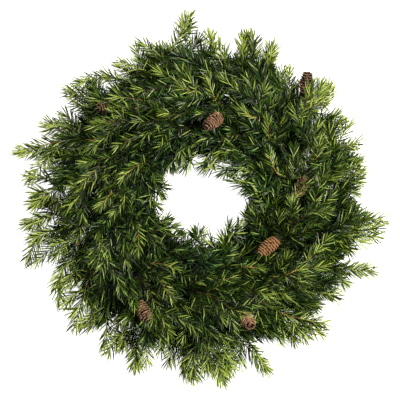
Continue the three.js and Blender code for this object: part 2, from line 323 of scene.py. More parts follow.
EDGE_HEIGHTS = (12, 30)
EDGE_RISE = 6  # of a mouth above its sprig's tip
EDGE_YOUTH = (0.75, 1.0)
EDGE_COOL = (0, 0.4)
HOLE_SPRIGS = [
    (104, 46, 72, 60),
    (115, 48, 82, 62),
    (55, 57, 21, 68),
    (134, 58, 107, 70),
    (146, 68, 122, 84),
    (189, 57, 165, 76),
    (200, 68, 176, 86),
    (232, 62, 214, 82),
    (243, 47, 269, 75),
    (244, 50, 226, 82),
    (277, 54, 284, 80),
    (337, 54, 301, 71),
    (339, 67, 313, 74),
    (359, 74, 337, 89),
]
HOLE_HEIGHT = 60
HOLE_YOUTH = (0.5, 0.7)
HOLE_COOL = (0, 0.5)

# Each cone: its middle from the ring's centre, then its tip's bearing and rise, and how fresh it is.
CONES = [
    (156, 23, 68, 60, 35, 0.15),
    (165, 189, 54, 84, 12, 0.1),
    (15, 125, 77, 218, 35, 0.25),
    (-156, 151, 60, 200, 40, 0.3),
    (-95, -177, 75, 300, 30, 0.1),
    (70, -191, 80, 310, 62, 0.2),
    (103, -73, 85, 218, 6, 0.9),
]
CONE_LENGTH = 43
CONE_RADIUS = 11
SCALES_PER_TURN = 7.5  # so each turn's scales lie over the gaps of the last
SCALE_TURNS = 8.5
SCALE_WIDTH = 11
SCALE_DEPTH = 8.5
SCALE_THICKNESS = 1.3
SCALE_START = 0.35  # share of its depth by which a scale starts behind its place
SCALE_RADII = (0.3, 1.02)  # shares of the cone's outline, at a scale's root and at its lip
SCALE_CURL = 0.5  # how far a scale's sides curl inwards
SCALED_LENGTH = 0.86  # share of the cone's length that its scales start along
CONE_PLACES = (0, 0.08, 0.25, 0.45, 0.7, 0.88, 1)  # from the cone's base to its tip
CONE_OUTLINE = (0.7, 0.9, 1.0, 1.0, 0.94, 0.74, 0.3)  # shares of its radius

# ---------------------------------------- floor, lights and camera, in metres and watts

KEY_LIGHT = ("key", (1.3, 0.1, 1.7), 0.2, 148)
FILL_LIGHT = ("fill", (-0.7, 1.0, 1.9), 0.4, 50)
WORLD_LIGHT = 0.15
LIGHT_COLOUR = (1, 0.97, 0.88)
CAMERA_HEIGHT = 2.4
PICTURE_HEIGHT = 0.06  # the level whose width below fills the picture
PICTURE_WIDTH = 0.64
PICTURE_MIDDLE = (-0.0056, 0.0006)  # from the ring's centre
SENSOR_WIDTH = 36  # millimetres
FLOOR_HALF = 8
FLOOR_GAP = 0.0005  # below the wreath's lowest point

ring_low, ring_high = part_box("wire_ring")
RING_CENTRE = np.array([*((ring_low + ring_high) / 2)[:2], 0]) / MM


def polar(bearing, reach, height):
    b = math.radians(bearing)
    return np.array([reach * math.cos(b), reach * math.sin(b), height])


def beside_ring(bearing, lane, distance):
    angle = math.radians(lane)
    return polar(
        bearing,
        RING_RADIUS + distance * math.cos(angle),
        RING_HEIGHT + distance * math.sin(angle),
    )


def smooth_line(knots, places):
    """Points on a centripetal Catmull-Rom line through the knots, at places from 0 to 1."""
    knots = np.asarray(knots, float)
    ends = (2 * knots[0] - knots[1], 2 * knots[-1] - knots[-2])
    padded = np.vstack([ends[0], knots, ends[1]])
    position = np.clip(places, 0, 1) * (len(knots) - 1)
    index = np.minimum(position.astype(int), len(knots) - 2)
    weight = (position - index)[:, None]
    p0, p1, p2, p3 = (padded[index + k] for k in range(4))
    d0, d1, d2 = (
        np.linalg.norm(b - a, axis=1)[:, None] ** 0.5
        for a, b in ((p0, p1), (p1, p2), (p2, p3))
    )
    slope1 = d1 * ((p1 - p0) / d0 - (p2 - p0) / (d0 + d1) + (p2 - p1) / d1)
    slope2 = d1 * ((p2 - p1) / d1 - (p3 - p1) / (d1 + d2) + (p3 - p2) / d2)
    return (
        p1
        + slope1 * weight
        + (3 * (p2 - p1) - 2 * slope1 - slope2) * weight**2
        + (2 * (p1 - p2) + slope1 + slope2) * weight**3
    )


def unit(vectors):
    return vectors / np.maximum(np.linalg.norm(vectors, axis=-1, keepdims=True), 1e-9)


def shortened(line):
    """A twig's line, cut where its last needles start."""
    length = np.linalg.norm(np.diff(line, axis=0), axis=1).sum()
    whole = np.linspace(0, 1, len(line))
    places = whole * max(0.4, 1 - TIP_NEEDLES / length)
    return np.stack([np.interp(places, whole, line[:, k]) for k in range(3)], 1)


def turned(way, degrees):
    """A direction turned anticlockwise about the vertical."""
    c, s = math.cos(math.radians(degrees)), math.sin(math.radians(degrees))
    return np.array([c * way[0] - s * way[1], s * way[0] + c * way[1], way[2]])


Twig = namedtuple("Twig", "line radius youth cool")


class Bough:
    """The lines of one bough's twigs, in millimetres from the ring's centre."""

    def __init__(self, row, seed):
        turn, lane, half_height, tip, *side_tips = row
        self.random = np.random.default_rng(seed)
        self.lane = lane
        self.cool = self.random.uniform(0, 0.6)
        youth = YOUTH[lane] * self.random.uniform(0.85, 1.05)
        self.knots = self.leading_knots(turn, lane, half_height, tip)
        self.leading = smooth_line(self.knots, np.linspace(0, 1, LEADING_STEPS + 1))
        self.stem_end = int(LEADING_STEPS * FOLIAGE_START)
        self.twigs = [Twig(shortened(self.leading[self.stem_end :]), LEADING_RADIUS, youth, self.cool)]
        for side_tip in side_tips:
            self.add_twig(self.side_root(polar(*side_tip)), polar(*side_tip), SIDE_TWIG_YOUTH * youth)
        for place, side in LOW_TWIGS[lane]:
            root, way = self.at(place)
            length = LOW_TWIG_LENGTH * (1 - LOW_TWIG_TAPER * (place - LOWEST_TWIG))
            tip = root + length * turned(way, side * SIDE_TWIG_ANGLE)
            self.add_twig(root, tip, LOW_TWIG_YOUTH * youth)

    def leading_knots(self, turn, lane, half_height, tip):
        exit_bearing = BINDING_START + TURN * (turn + 0.5 + LANES[lane] / 360)
        leave = beside_ring(exit_bearing, LANES[lane], STEM_EXIT)
        start = math.hypot(leave[0], leave[1])
        round_share, away_share = BENDS[lane]
        middle = polar(
            exit_bearing + round_share * (tip[0] - exit_bearing),
            start + away_share * (tip[1] - start),
            half_height,
        )
        return [
            beside_ring(exit_bearing - STEM_RUN, LANES[lane], LANE_RADIUS),
            beside_ring(exit_bearing - STEM_BEND, LANES[lane], LANE_RADIUS),
            leave,
            middle,
            polar(*tip),
        ]

    def at(self, place):
        """The leading twig's point and direction at a place from 0 to 1."""
        before, point, after = smooth_line(self.knots, np.array([place - 0.004, place, place + 0.004]))
        return point, unit(after - before)

    def side_root(self, tip):
        """A side twig leaves the leading twig where it turns by SIDE_TWIG_ANGLE to reach its own tip."""
        place = 0.95
        while place > LOWEST_TWIG:
            root, way = self.at(place)
            if np.dot(unit(tip - root), way) > math.cos(math.radians(SIDE_TWIG_ANGLE)):
                break
            place -= 0.01
        return self.at(place)[0]

    def add_twig(self, root, tip, youth):
        """A side twig, which leaves wide and then bends forward to its tip."""
        forward = unit(self.leading[-1] - self.leading[LEADING_STEPS // 2])
        straight = unit(tip - root)
        outward = unit(straight - np.dot(straight, forward) * forward)
        bow = SIDE_TWIG_BOW * outward + self.random.normal(0, 0.02, 3)
        share = np.linspace(0, 1, SIDE_STEPS + 1)[:, None]
        line = root + (tip - root) * share + 4 * share * (1 - share) * bow * np.linalg.norm(tip - root)
        cool = self.cool + self.random.uniform(0, 0.3)
        self.twigs.append(Twig(shortened(line), SIDE_RADIUS, youth, cool))

    def sprig(self, tip, mouth, youth, cool):
        """A sprig from this bough's nearest twig by way of its mouth to its tip."""
        line = smooth_line([self.nearest(mouth), mouth, tip], np.linspace(0, 1, SIDE_STEPS + 1))
        radius = np.interp(youth, [0.7, 1], [THIN_RADIUS, SIDE_RADIUS])
        return Twig(shortened(line), radius, youth, cool)

    def nearest(self, point):
        """The point on this bough's twigs, short of their ends, that is nearest to another."""
        points = np.vstack([twig.line[:-2] for twig in self.twigs])
        return points[np.argmin(np.linalg.norm(points - point, axis=1))]


def grow_sprig(boughs, tip, mouth, youth, cool):
    """A sprig grows from the bough that comes nearest to its mouth."""
    bough = min(boughs, key=lambda b: np.linalg.norm(b.nearest(mouth) - mouth))
    bough.twigs.append(bough.sprig(tip, mouth, youth, cool))
    return bough.twigs


def face_height(reach):
    return np.interp(reach, FACE_REACH, FACE_HEIGHTS)


def add_face_sprigs(boughs, random):
    for bearing, reach, mouth_bearing, mouth_reach in FACE_SPRIGS:
        tip = polar(bearing, reach, face_height(reach))
        mouth = polar(mouth_bearing, mouth_reach, face_height(mouth_reach) - MOUTH_DEPTH)
        grow_sprig(boughs, tip, mouth, random.uniform(*FACE_YOUTH), random.uniform(*FACE_COOL))


def add_edge_sprigs(boughs, random):
    for bearing, reach, mouth_bearing, mouth_reach in EDGE_SPRIGS:
        height = random.uniform(*EDGE_HEIGHTS)
        tip = polar(bearing, reach, height)
        mouth = polar(mouth_bearing, mouth_reach, height + EDGE_RISE)
        grow_sprig(boughs, tip, mouth, random.uniform(*EDGE_YOUTH), random.uniform(*EDGE_COOL))


def add_hole_sprigs(boughs, random):
    for bearing, reach, mouth_bearing, mouth_reach in HOLE_SPRIGS:
        tip = polar(bearing, reach, HOLE_HEIGHT)
        mouth = polar(mouth_bearing, mouth_reach, HOLE_HEIGHT)
        grow_sprig(boughs, tip, mouth, random.uniform(*HOLE_YOUTH), random.uniform(*HOLE_COOL))


class Cover:
    """How many twigs have needles over each square of the table."""

    SQUARE = 8
    HALF = 45  # squares from the middle of the table to its edge
    WIDTH = 12  # how far to each side of a twig its needles cover
    FULL = 1000  # the count where no filler goes

    def __init__(self):
        centres = (np.arange(2 * self.HALF) - self.HALF + 0.5) * self.SQUARE
        self.x, self.y = np.meshgrid(centres, centres, indexing="ij")
        reach = np.hypot(self.x, self.y)
        self.counts = np.interp(reach, FILLER_REACH, FILLER_LACK)
        self.counts[(reach < FILLER_REACH[0]) | (reach > FILLER_REACH[-1])] = self.FULL

    def add(self, line):
        """Count a line over every square that its needles cover."""
        turn = np.radians(np.arange(0, 360, 60))
        ring = self.WIDTH * np.stack([np.cos(turn), np.sin(turn)], 1)
        points = line[:, None, :2] + np.vstack([ring, 0 * ring[:1]])
        squares = np.unique((points / self.SQUARE + self.HALF).astype(int).reshape(-1, 2), axis=0)
        self.counts[squares[:, 0], squares[:, 1]] += 1

    def barest(self, random):
        """The middle of the square with the fewest twigs over it."""
        best = np.argmin(self.counts + random.uniform(0, 0.5, self.counts.shape))
        return np.array([self.x.flat[best], self.y.flat[best], 0])


class Relief:
    """Gentle waves over the face, from 0 in a hollow to 1 on a mound, where fillers lie lower or higher;
    fillers in a hollow also get darker needles as painted shade.
    """

    WAVES = 9
    LENGTHS = (60, 130)  # millimetres from one wave to the next

    def __init__(self, random):
        bearings = random.uniform(0, 2 * np.pi, self.WAVES)
        steps = 2 * np.pi / random.uniform(*self.LENGTHS, self.WAVES)
        self.waves = np.stack([steps * np.cos(bearings), steps * np.sin(bearings)])
        self.starts = random.uniform(0, 2 * np.pi, self.WAVES)

    def at(self, point):
        height = np.sin(point[:2] @ self.waves + self.starts).sum() / 3
        return 0.5 + 0.5 * math.tanh(1.2 * height)


def flow(point):
    """The way fillers point at a place: round the ring near the hole, more outwards near the outline."""
    reach = math.hypot(point[0], point[1])
    return turned(unit(np.array([point[0], point[1], 0])), np.interp(reach, SWEEP_REACH, SWEEP))


def add_fillers(boughs, random):
    """Small sprigs, one after another, each in the barest place on the face."""
    cover = Cover()
    for bough in boughs:
        for twig in bough.twigs:
            cover.add(twig.line)
    relief = Relief(random)
    for _ in range(FILLERS):
        middle = cover.barest(random)
        share = random.uniform() ** 1.2 * relief.at(middle)
        middle[2] = np.interp(share, (0, 1), FILLER_HEIGHTS)
        way = turned(flow(middle), random.normal(0, FILLER_STRAY))
        rise = np.array([0, 0, random.uniform(*FILLER_RISE)])
        # Painted shade: a filler lower in a hollow gets less youth, so darker needles.
        twigs = grow_sprig(
            boughs,
            middle + FILLER_AHEAD * way + rise,
            middle - FILLER_BEHIND * way,
            np.interp(share, (0, 1), FILLER_YOUTH_AND_DEPTH_SHADE) + random.uniform(-0.1, 0.1),
            random.uniform(*FILLER_COOL),
        )
        cover.add(twigs[-1].line)


class MeshParts:
    """Vertices, faces and per-vertex attributes gathered for one mesh."""

    def __init__(self):
        self.points, self.faces, self.attributes = [], [], []
        self.count = 0

    def add(self, points, faces, along, tone, cool, kind):
        n = len(points)
        self.points.append(points)
        self.faces.append(np.asarray(faces) + self.count)
        self.attributes.append(np.stack([np.broadcast_to(v, n) for v in (along, tone, cool, kind)], 1))
        self.count += n

    def build(self, name, materials):
        """The piece, whose vertices each have the index of their material as their kind."""
        values = np.vstack(self.attributes)
        quads = np.vstack(self.faces)
        sizes = np.where(quads[:, 3] == quads[:, 2], 3, 4)
        corners = quads[np.arange(4)[None, :] < sizes[:, None]]
        kinds = values[quads[:, 0], 3]
        mesh = bpy.data.meshes.new(name)
        self.fill(mesh, sizes, corners)
        mesh.polygons.foreach_set("material_index", kinds.astype(np.int32))
        mesh.polygons.foreach_set("use_smooth", kinds > 0)
        for index, attribute in enumerate(("along", "tone", "cool")):
            layer = mesh.attributes.new(attribute, "FLOAT", "POINT")
            layer.data.foreach_set("value", values[:, index].astype(np.float32))
        bake = mesh.uv_layers.new(name="OFBake")
        bake.data.foreach_set("uv", bake_places(values)[corners].astype(np.float32).ravel())
        mesh.update()
        mesh.validate()
        for material in materials:
            mesh.materials.append(material)
        piece = bpy.data.objects.new(name, mesh)
        bpy.context.scene.collection.objects.link(piece)
        return piece

    def fill(self, mesh, sizes, corners):
        """Give a mesh its vertices, and its faces from their sizes and the vertices at their corners."""
        points = (np.vstack(self.points) + RING_CENTRE) * MM
        starts = np.concatenate([[0], np.cumsum(sizes)[:-1]])
        mesh.vertices.add(len(points))
        mesh.vertices.foreach_set("co", points.astype(np.float32).ravel())
        mesh.loops.add(len(corners))
        mesh.loops.foreach_set("vertex_index", corners.astype(np.int32))
        mesh.polygons.add(len(sizes))
        mesh.polygons.foreach_set("loop_start", starts.astype(np.int32))


def bake_places(values):
    """Where each vertex's colour lies in the baked picture.

    Needles have a column for each shade, in which a needle's length runs across and its tone up. A cone's
    scales have the first column. Bark has the top eighth.
    """
    along, tone, cool, kind = values.T
    column = cool * (NEEDLE_SHADES - 1)
    u = np.where(kind == 0, (column + 0.05 + 0.9 * along) / NEEDLE_SHADES, 0.01 + 0.98 * along)
    v = np.where(kind == 0, 0.02 + 0.82 * tone, 0.88 + 0.1 * tone)
    return np.stack([u, v], 1)


def twig_frames(line):
    """Directions along a line, level across it, and up from it."""
    ahead = unit(np.gradient(line, axis=0))
    across = unit(np.cross(np.array([0, 0, 1.0]), ahead))
    return ahead, across, np.cross(ahead, across)


def add_tube(parts, line, radii, tone, kind):
    """A round tube along a line, closed at its tip."""
    ahead, across, up = twig_frames(line)
    turn = np.linspace(0, 2 * np.pi, TWIG_SIDES, endpoint=False)
    rings = line[:, None] + radii[:, None, None] * (
        np.cos(turn)[None, :, None] * across[:, None] + np.sin(turn)[None, :, None] * up[:, None]
    )
    n = len(line)
    faces = []
    for s in range(n - 1):
        for k in range(TWIG_SIDES):
            a, b = s * TWIG_SIDES + k, s * TWIG_SIDES + (k + 1) % TWIG_SIDES
            faces.append((a, b, b + TWIG_SIDES, a + TWIG_SIDES))
    top = n * TWIG_SIDES
    for k in range(TWIG_SIDES):
        a, b = (n - 1) * TWIG_SIDES + k, (n - 1) * TWIG_SIDES + (k + 1) % TWIG_SIDES
        faces.append((a, b, top, top))
    points = np.vstack([rings.reshape(-1, 3), line[-1] + ahead[-1] * radii[-1]])
    points[:, 2] = np.maximum(points[:, 2], TABLE_GAP)
    along = np.append(np.repeat(np.linspace(0, 1, n), TWIG_SIDES), 1)
    tones = np.broadcast_to(tone, n)
    parts.add(points, faces, along, np.append(np.repeat(tones, TWIG_SIDES), tones[-1]), 0, kind)


def needle_faces():
    """Faces of one needle: three-sided rings, then its point."""
    rings = len(NEEDLE_STATIONS)
    faces = []
    for s in range(rings - 1):
        for k in range(3):
            a, b = 3 * s + k, 3 * s + (k + 1) % 3
            faces.append((a, b, b + 3, a + 3))
    for k in range(3):
        a, b = 3 * (rings - 1) + k, 3 * (rings - 1) + (k + 1) % 3
        faces.append((a, b, 3 * rings, 3 * rings))
    return np.array(faces)


NEEDLE_FACES = needle_faces()


def needle_places(twig, random):
    """How far along a twig its needles grow, and how far along it the points of its line are."""
    steps = np.linalg.norm(np.diff(twig.line, axis=0), axis=1)
    walked = np.concatenate([[0], np.cumsum(steps)])
    length = walked[-1]
    density = np.interp(twig.youth, OLD_AND_YOUNG, NEEDLES_PER_MM)
    count = int(length * density * np.interp(np.linalg.norm(twig.line[-1, :2]), OPEN_REACH, OPEN_SHARE))
    places = length * (np.arange(count) + random.uniform(0, 0.6, count)) / count
    tuft = np.linspace(length - TUFT_RUN, length, TIP_TUFT)
    return np.concatenate([places, tuft]), walked


def needle_ways(twig, frames, left, spiral, random):
    """Needles lean out from their twig, most of them to its sides, and close up round its tip."""
    ahead, across, up = frames
    lift = np.interp(twig.youth, OLD_AND_YOUNG, NEEDLE_LIFT)
    rise = np.sin(spiral) * np.where(np.sin(spiral) > 0, lift, NEEDLE_DROP)
    out = unit(np.cos(spiral)[:, None] * across + rise[:, None] * up)
    lean = np.interp(left, LEAN_LEFT, NEEDLE_LEAN) + random.normal(0, LEAN_SPREAD, len(left))
    lean[-TIP_TUFT:] = np.linspace(*TUFT_LEAN, TIP_TUFT)
    lean = np.radians(lean)
    return np.cos(lean)[:, None] * ahead + np.sin(lean)[:, None] * out


def needle_sides(way, up, random):
    """Two directions across each needle, turned about it at random."""
    flat = unit(up - np.sum(up * way, axis=1)[:, None] * way)
    wide = np.cross(way, flat)
    roll = random.normal(0, ROLL_SPREAD, len(way))
    c, s = np.cos(roll)[:, None], np.sin(roll)[:, None]
    return c * wide + s * flat, c * flat - s * wide


def needle_points(twig, foot, way, frames, random):
    """Each needle's three-sided rings and its point, curving forward to the twig's own way."""
    ahead, _, up = frames
    count = len(foot)
    away = np.linalg.norm(foot[:, :2], axis=1)
    growth = np.interp(twig.youth, OLD_AND_YOUNG, NEEDLE_GROWTH)
    size = growth * np.interp(away, NEEDLE_REACH, NEEDLE_LENGTH) * random.uniform(*NEEDLE_SIZES, count)
    bend = random.uniform(0, NEEDLE_BEND, count)
    wide, flat = needle_sides(way, up, random)

    def spine(share):
        curve = (bend * share**2)[:, None] * (ahead - way)
        return foot + size[:, None] * (share * way + curve)

    rings = []
    breadth = np.interp(away, NEEDLE_REACH, NEEDLE_WIDTH)[:, None]
    for share, width in zip(NEEDLE_STATIONS, NEEDLE_WIDTHS):
        half = 0.5 * breadth * width
        centre = spine(share)
        rings += [centre + half * wide, centre + NEEDLE_DEPTH * half * flat, centre - half * wide]
    points = np.stack([*rings, spine(1.0)], 1)
    lowest = TABLE_GAP + random.uniform(0, TABLE_PILE, count)
    points[:, :, 2] = np.maximum(points[:, :, 2], lowest[:, None])
    return points


def needle_colours(twig, left, away, spiral, random):
    """Each needle's tone, and its coolness in steps from 0 to 1."""
    tone = twig.youth * np.interp(left, TONE_LEFT, NEEDLE_TONE)
    tone += np.interp(away, NEEDLE_REACH, NEEDLE_MIX) * random.normal(0, 1, len(left))
    # Painted shade: needles on the underside of a twig are darker.
    tone -= np.interp(away, NEEDLE_REACH, NEEDLE_SHADE) * np.maximum(0, -np.sin(spiral))
    tone *= np.interp(away, FADE_REACH, NEEDLE_FADE)
    cool = twig.cool * np.interp(left, COOL_LEFT, COOL_SHARE) + random.normal(0, COOL_SPREAD, len(left))
    cool = np.clip(cool * np.interp(away, NEEDLE_REACH, NEEDLE_COOL), 0, 1)
    return np.clip(tone, 0, 1), np.round(cool * (NEEDLE_SHADES - 1)) / (NEEDLE_SHADES - 1)


def add_needles(parts, twig, random):
    """Needles all along a twig, in a spiral round it."""
    places, walked = needle_places(twig, random)
    count = len(places)

    def at_needles(values):
        return np.stack([np.interp(places, walked, values[:, k]) for k in range(3)], 1)

    frames = [unit(at_needles(directions)) for directions in twig_frames(twig.line)]
    foot = at_needles(twig.line)
    left = walked[-1] - places
    spiral = np.arange(count) * NEEDLE_SPIRAL + random.uniform(0, 360)
    spiral = np.radians(spiral + random.normal(0, SPIRAL_SPREAD, count))
    way = needle_ways(twig, frames, left, spiral, random)
    points = needle_points(twig, foot, way, frames, random)
    tone, cool = needle_colours(twig, left, np.linalg.norm(foot[:, :2], axis=1), spiral, random)
    each = points.shape[1]
    faces = (NEEDLE_FACES[None] + each * np.arange(count)[:, None, None]).reshape(-1, 4)
    along = np.tile(np.append(np.repeat(NEEDLE_STATIONS, 3), 1.0), count)
    parts.add(points.reshape(-1, 3), faces, along, np.repeat(tone, each), np.repeat(cool, each), 0)


def add_bark(parts, twig):
    """A twig's bark, along every second or third point of its line and its last one."""
    step = 3 if len(twig.line) > 20 else 2
    line = twig.line[::step]
    if (len(twig.line) - 1) % step:
        line = np.vstack([line, twig.line[-1:]])
    radii = np.linspace(twig.radius, END_RADIUS, len(line))
    young_end = np.interp(np.linspace(0, 1, len(line)), [0.2, 0.6], [0, 1])
    tone = 0.3 + young_end * np.interp(twig.youth, [0.6, 1], [0, 0.7])
    add_tube(parts, line, radii, tone, 1)


def make_bough(name, bough, materials):
    parts = MeshParts()
    stem = bough.leading[: bough.stem_end + 1 : 4]
    add_tube(parts, stem, np.full(len(stem), STEM_RADIUS), 0.15, 1)
    for twig in bough.twigs:
        add_bark(parts, twig)
        add_needles(parts, twig, bough.random)
    piece = parts.build(name, materials)
    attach(piece, "root")
    return piece


# ---------------------------------------- cones


def scale_grid():
    """One cone scale: two sides, each a 5 by 5 grid from its root to its rounded lip, and their rim."""
    across, out = np.meshgrid(np.linspace(-1, 1, 5), np.linspace(0, 1, 5))
    faces = []
    for side in (0, 25):
        for row in range(4):
            for column in range(4):
                a = side + 5 * row + column
                quad = (a, a + 1, a + 6, a + 5)
                faces.append(quad if side == 0 else quad[::-1])
    rim = [*range(0, 5), *range(9, 25, 5), *range(23, 19, -1), *range(15, 0, -5)]
    for a, b in zip(rim, rim[1:] + rim[:1]):
        faces.append((b, a, a + 25, b + 25))
    return across.ravel(), out.ravel(), faces


SCALE_ACROSS, SCALE_OUT, SCALE_FACES = scale_grid()


def cone_outline(place):
    """A cone's radius at a place from its base, 0, to its tip, 1."""
    return CONE_RADIUS * np.interp(place, CONE_PLACES, CONE_OUTLINE)


def add_scale(parts, base, axes, place, turn, freshness, random):
    """A scale grows from the cone's core, curves outwards and ends in a lip at the cone's outline."""
    way, left, up = axes
    share = cone_outline(place) / CONE_RADIUS
    widening = 0.45 + 0.55 * np.sin(np.pi * np.minimum(SCALE_OUT, 0.8) / 1.6)
    width = SCALE_WIDTH * (0.45 + 0.55 * share) * widening
    lip = 1 - 0.2 * SCALE_ACROSS**2 * SCALE_OUT
    depth = SCALE_DEPTH * (0.5 + 0.5 * share)
    outward = turn + SCALE_ACROSS * 0.5 * width / max(cone_outline(place), 5)
    height = CONE_LENGTH * place * SCALED_LENGTH + depth * (SCALE_OUT * lip - SCALE_START)
    flare = np.interp((SCALE_OUT * lip) ** 0.8, (0, 1), SCALE_RADII)
    radius = cone_outline(place) * flare + random.uniform(-0.8, 0.4) - SCALE_CURL * SCALE_ACROSS**2
    from_axis = np.cos(outward)[:, None] * left + np.sin(outward)[:, None] * up
    sides = []
    for side in (1, -1):
        side_radius = radius - side * 0.5 * SCALE_THICKNESS
        side_height = height + side * 0.45 * SCALE_THICKNESS
        sides.append(base + side_height[:, None] * way + side_radius[:, None] * from_axis)
    tone = np.clip(freshness + 0.2 * (0.5 - place) + random.normal(0, 0.16), 0, 1)
    parts.add(np.vstack(sides), SCALE_FACES, np.tile(SCALE_OUT, 2), tone, 0, 0)


def add_core(parts, base, way):
    """The cone's woody middle, which the scales hide."""
    places = np.linspace(0.02, 0.74, 7)
    line = base + CONE_LENGTH * places[:, None] * way
    add_tube(parts, line, 0.55 * cone_outline(places), 0.1, 0)


def make_cone(name, row, seed, material):
    x, y, z, bearing, rise, freshness = row
    random = np.random.default_rng(seed)
    way = polar(bearing, math.cos(math.radians(rise)), math.sin(math.radians(rise)))
    left = unit(np.cross([0, 0, 1.0], way))
    axes = (way, left, np.cross(way, left))
    base = np.array([x, y, z]) - 0.5 * CONE_LENGTH * way
    parts = MeshParts()
    add_core(parts, base, way)
    count = round(SCALES_PER_TURN * SCALE_TURNS)
    for number in range(count):
        place = 0.02 + 0.96 * (number + 0.5) / count + random.normal(0, 0.006)
        turn = 2 * math.pi * number / SCALES_PER_TURN + random.normal(0, 0.15)
        add_scale(parts, base, axes, place, turn, freshness, random)
    piece = parts.build(name, [material])
    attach(piece, "root")
    return piece


# ---------------------------------------- materials


def new_material(name, roughness):
    material = bpy.data.materials.new(name)
    material.use_nodes = True
    shader = material.node_tree.nodes["Principled BSDF"]
    shader.inputs["Roughness"].default_value = roughness
    return material, material.node_tree.nodes, material.node_tree.links, shader


def attribute_value(nodes, name):
    node = nodes.new("ShaderNodeAttribute")
    node.attribute_name = name
    return node.outputs["Fac"]


def linear(colour):
    """A colour written as #rrggbb, as the light values that Blender uses."""
    channels = [int(colour[k : k + 2], 16) / 255 for k in (1, 3, 5)]
    return [c / 12.92 if c < 0.04045 else ((c + 0.055) / 1.055) ** 2.4 for c in channels] + [1]


def streaks(nodes, links, fineness):
    """Fine streaks along each needle, twig or scale, which differ from one to the next."""
    place = nodes.new("ShaderNodeCombineXYZ")
    for socket, name in zip(place.inputs, ("along", "tone", "cool")):
        links.new(attribute_value(nodes, name), socket)
    stretch = nodes.new("ShaderNodeVectorMath")
    stretch.operation = "MULTIPLY"
    stretch.inputs[1].default_value = fineness
    links.new(place.outputs["Vector"], stretch.inputs[0])
    noise = nodes.new("ShaderNodeTexNoise")
    noise.inputs["Scale"].default_value = 1
    noise.inputs["Detail"].default_value = 3
    links.new(stretch.outputs["Vector"], noise.inputs["Vector"])
    return noise.outputs["Fac"]


def ramp(nodes, links, factor, stops):
    node = nodes.new("ShaderNodeValToRGB")
    while len(node.color_ramp.elements) < len(stops):
        node.color_ramp.elements.new(0.5)
    for element, (place, colour) in zip(node.color_ramp.elements, stops):
        element.position = place
        element.color = linear(colour)
    links.new(factor, node.inputs["Fac"])
    return node.outputs["Color"]


def mix(nodes, links, factor, first, second, way="MIX"):
    node = nodes.new("ShaderNodeMix")
    node.data_type = "RGBA"
    node.blend_type = way
    sockets = (node.inputs["Factor"], node.inputs[6], node.inputs[7])
    for socket, value in zip(sockets, (factor, first, second)):
        if isinstance(value, bpy.types.NodeSocket):
            links.new(value, socket)
        else:
            socket.default_value = value
    return node.outputs[2]


def needle_material():
    """Waxy needles: dark when old, lime when young, from warm to cold green; painted shade darkens their
    feet near the twig, partly also their own darker bases, less on young needles.
    """
    material, nodes, links, shader = new_material("fir_needles", 0.38)
    tone = attribute_value(nodes, "tone")
    warm_greens = [(0, "#0e1b02"), (0.25, "#1c3004"), (0.5, "#32480a"), (0.75, "#54681c"), (1, "#8c9b46")]
    cold_greens = [(0, "#081a09"), (0.25, "#112e13"), (0.5, "#1e4421"), (0.75, "#3f6735"), (1, "#789b60")]
    warm = ramp(nodes, links, tone, warm_greens)
    cold = ramp(nodes, links, tone, cold_greens)
    body = mix(nodes, links, attribute_value(nodes, "cool"), warm, cold)
    # Painted shade: needles darken towards their feet, where the twig and their neighbours shade them;
    # this is partly also their own darker bases.
    foot_shade_stops = [(0, "#2c2c2c"), (0.5, "#b4b4b4"), (1, "#ffffff")]
    painted_foot_shade = ramp(nodes, links, attribute_value(nodes, "along"), foot_shade_stops)
    less_foot_shade_on_young = ramp(nodes, links, tone, [(0.35, "#ffffff"), (0.9, "#808080")])
    body_with_foot_shade = mix(nodes, links, less_foot_shade_on_young, body, painted_foot_shade, "MULTIPLY")
    bloom = ramp(nodes, links, streaks(nodes, links, (5, 40, 5)), [(0.3, "#b4b4b4"), (0.7, "#ffffff")])
    links.new(mix(nodes, links, 1, body_with_foot_shade, bloom, "MULTIPLY"), shader.inputs["Base Color"])
    shader.inputs["Specular IOR Level"].default_value = 0.15
    return material


def bark_material():
    """Bark: grey-brown on the old stem, orange-brown on young twigs."""
    material, nodes, links, shader = new_material("fir_bark", 0.7)
    old_to_young = [(0, "#1c160f"), (0.5, "#261d0f"), (0.8, "#5a3c1c"), (1, "#a87042")]
    colour = ramp(nodes, links, attribute_value(nodes, "tone"), old_to_young)
    grain = ramp(nodes, links, streaks(nodes, links, (30, 12, 1)), [(0.35, "#808080"), (0.65, "#ffffff")])
    links.new(mix(nodes, links, 1, colour, grain, "MULTIPLY"), shader.inputs["Base Color"])
    shader.inputs["Specular IOR Level"].default_value = 0.1
    return material


def cone_material():
    """Dry cone scales: tan at their lips and warmer on a fresh cone, reddish brown further in, with
    painted shade that darkens their roots nearly to black under the scale above.
    """
    material, nodes, links, shader = new_material("cone_scales", 0.62)
    along = attribute_value(nodes, "along")
    # Painted shade: each scale's root, where the scale above covers it, is near black; the reddish to tan
    # browns are the wood's own.
    dull_browns_and_root_shade = [(0, "#080302"), (0.75, "#120805"), (0.92, "#24120c"), (1, "#604638")]
    warm_browns_and_root_shade = [(0, "#100703"), (0.7, "#241108"), (0.9, "#603a1a"), (1, "#a87e52")]
    dull = ramp(nodes, links, along, dull_browns_and_root_shade)
    warm = ramp(nodes, links, along, warm_browns_and_root_shade)
    wood_and_root_shade = mix(nodes, links, attribute_value(nodes, "tone"), dull, warm)
    grain = ramp(nodes, links, streaks(nodes, links, (7, 60, 1)), [(0.3, "#8c8c8c"), (0.7, "#ffffff")])
    links.new(mix(nodes, links, 1, wood_and_root_shade, grain, "MULTIPLY"), shader.inputs["Base Color"])
    shader.inputs["Specular IOR Level"].default_value = 0.2
    return material


